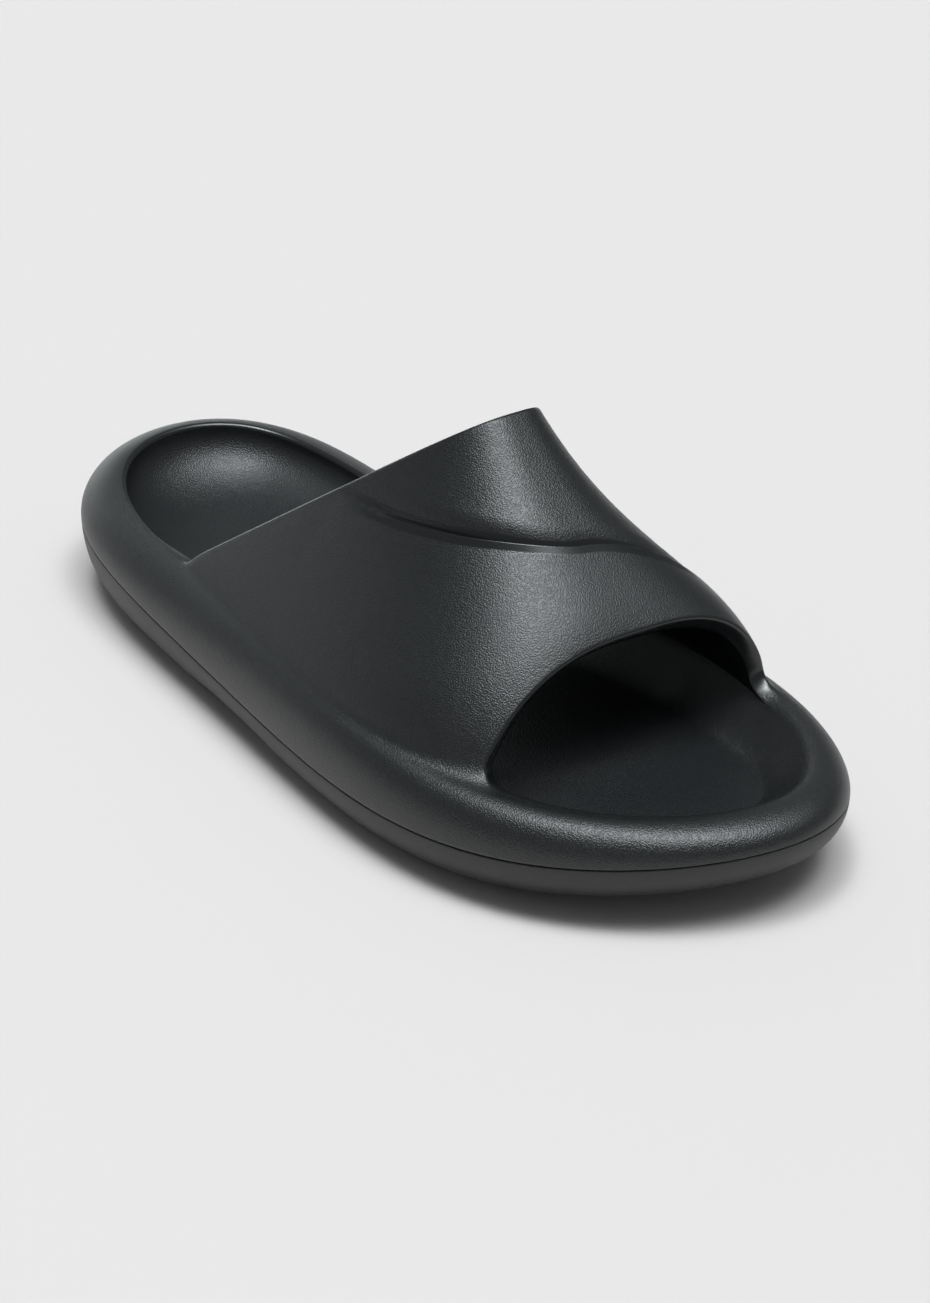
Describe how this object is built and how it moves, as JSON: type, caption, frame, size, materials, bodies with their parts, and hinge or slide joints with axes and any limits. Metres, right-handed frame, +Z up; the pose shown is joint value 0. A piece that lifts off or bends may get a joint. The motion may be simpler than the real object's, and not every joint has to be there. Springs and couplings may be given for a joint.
{
  "type": "sport slide sandal",
  "caption": "Moulded black slide sandal for the right foot with a broad arched strap, a thick rounded rim, a dished footbed and a grooved outsole with a raised toe.",
  "frame": {"origin": "centre of the sole's outline, on the floor", "axes": "+X to the toe, +Y to the inner side of the foot, +Z up"},
  "size_m": [0.29, 0.1176, 0.0934],
  "materials": {
    "upper_foam": "satin pebbled moulded foam",
    "footbed_foam": "satin finely pebbled moulded foam",
    "outsole_foam": "matt moulded foam"
  },
  "bodies": {
    "root": {"upper": "upper_foam", "footbed": "footbed_foam", "outsole": "outsole_foam"}
  },
  "joints": []
}
